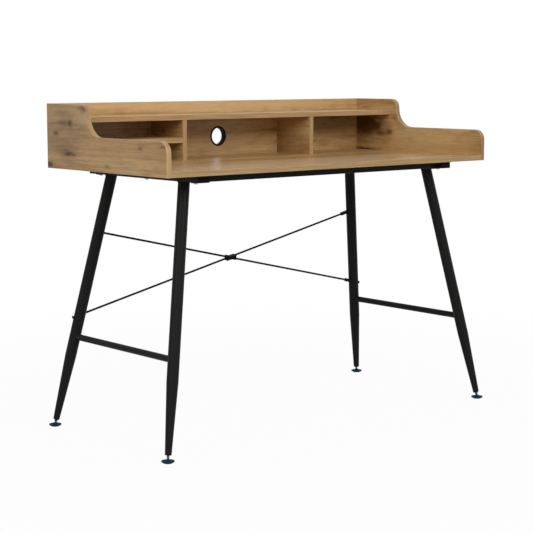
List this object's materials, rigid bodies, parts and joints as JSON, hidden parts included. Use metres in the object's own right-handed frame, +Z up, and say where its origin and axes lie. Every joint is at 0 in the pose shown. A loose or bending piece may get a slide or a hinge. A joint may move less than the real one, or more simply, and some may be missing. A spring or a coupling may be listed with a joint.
{
  "type": "office desk",
  "caption": "Writing desk with a laminated board top, raised sides sweeping up to a pigeonhole shelf at the back, on splayed round steel legs with an X brace and screw feet.",
  "frame": {"origin": "on the floor, below the middle of the desk's width and depth", "axes": "+Z up, +X to the right of the person who sits at the desk, +Y to its back"},
  "size_m": [1.231, 0.575, 0.92],
  "materials": {
    "oak_laminate": "knotty oak decor laminate, satin",
    "black_frame_steel": "black powder coat",
    "black_plastic": "moulded, fine texture",
    "foot_screw_steel": "dark zinc plated",
    "zinc_plated_steel": "zinc plated",
    "cast_zinc": "as cast",
    "beech": "bare beech"
  },
  "bodies": {
    "desk": {"worktop": "oak_laminate", "left_side_panel": "oak_laminate", "right_side_panel": "oak_laminate", "back_panel": "oak_laminate", "top_shelf": "oak_laminate", "left_bay_shelf": "oak_laminate", "left_divider": "oak_laminate", "right_divider": "oak_laminate", "left_top_bar": "black_frame_steel", "right_top_bar": "black_frame_steel", "front_rail": "black_frame_steel", "rear_rail": "black_frame_steel", "front_left_leg": "black_frame_steel", "front_right_leg": "black_frame_steel", "rear_left_leg": "black_frame_steel", "rear_right_leg": "black_frame_steel", "left_stretcher": "black_frame_steel", "right_stretcher": "black_frame_steel", "brace_rod_falling": "black_frame_steel", "brace_rod_rising": "black_frame_steel", "brace_adjusting_nuts": "black_frame_steel", "brace_bolts": "black_frame_steel", "cable_grommet": "black_plastic", "bar_end_caps": "black_plastic", "brace_cross_clamp": "black_plastic", "frame_bolts": "zinc_plated_steel", "worktop_threaded_inserts": "zinc_plated_steel", "worktop_cam_bolts": "zinc_plated_steel", "top_shelf_cam_bolts": "zinc_plated_steel", "back_panel_screws": "zinc_plated_steel", "divider_screws": "zinc_plated_steel", "worktop_cam_locks": "cast_zinc", "top_shelf_cam_locks": "cast_zinc", "back_panel_dowels": "beech", "divider_dowels": "beech", "bay_shelf_dowels": "beech", "front_left_leg_insert": "black_plastic", "front_right_leg_insert": "black_plastic", "rear_left_leg_insert": "black_plastic", "rear_right_leg_insert": "black_plastic"},
    "front_left_pad": {"front_left_foot_pad": "black_plastic"},
    "front_left_stem": {"front_left_foot_stem": "foot_screw_steel"},
    "front_right_pad": {"front_right_foot_pad": "black_plastic"},
    "front_right_stem": {"front_right_foot_stem": "foot_screw_steel"},
    "rear_left_pad": {"rear_left_foot_pad": "black_plastic"},
    "rear_left_stem": {"rear_left_foot_stem": "foot_screw_steel"},
    "rear_right_pad": {"rear_right_foot_pad": "black_plastic"},
    "rear_right_stem": {"rear_right_foot_stem": "foot_screw_steel"}
  },
  "joints": [
    {"name": "front_left_foot_extend", "type": "slide", "parent": "desk", "child": "front_left_pad", "axis": [-0.1868, -0.1391, -0.9725], "range_m": [0, 0.012]},
    {"name": "front_left_foot_turn", "type": "hinge", "parent": "front_left_pad", "child": "front_left_stem", "pos_m": [-0.598, -0.27, 0.0068], "axis": [-0.1868, -0.1391, -0.9725], "range_deg": [0, 3600]},
    {"name": "front_right_foot_extend", "type": "slide", "parent": "desk", "child": "front_right_pad", "axis": [0.1868, -0.1391, -0.9725], "range_m": [0, 0.012]},
    {"name": "front_right_foot_turn", "type": "hinge", "parent": "front_right_pad", "child": "front_right_stem", "pos_m": [0.598, -0.27, 0.0068], "axis": [0.1868, -0.1391, -0.9725], "range_deg": [0, 3600]},
    {"name": "rear_left_foot_extend", "type": "slide", "parent": "desk", "child": "rear_left_pad", "axis": [-0.1868, 0.1391, -0.9725], "range_m": [0, 0.012]},
    {"name": "rear_left_foot_turn", "type": "hinge", "parent": "rear_left_pad", "child": "rear_left_stem", "pos_m": [-0.598, 0.27, 0.0068], "axis": [-0.1868, 0.1391, -0.9725], "range_deg": [0, 3600]},
    {"name": "rear_right_foot_extend", "type": "slide", "parent": "desk", "child": "rear_right_pad", "axis": [0.1868, 0.1391, -0.9725], "range_m": [0, 0.012]},
    {"name": "rear_right_foot_turn", "type": "hinge", "parent": "rear_right_pad", "child": "rear_right_stem", "pos_m": [0.598, 0.27, 0.0068], "axis": [0.1868, 0.1391, -0.9725], "range_deg": [0, 3600]}
  ],
  "couplings": [
    {"joint": "front_left_foot_turn", "follows": "front_left_foot_extend", "rad_per_m": 5026.5},
    {"joint": "front_right_foot_turn", "follows": "front_right_foot_extend", "rad_per_m": 5026.5},
    {"joint": "rear_left_foot_turn", "follows": "rear_left_foot_extend", "rad_per_m": 5026.5},
    {"joint": "rear_right_foot_turn", "follows": "rear_right_foot_extend", "rad_per_m": 5026.5}
  ]
}
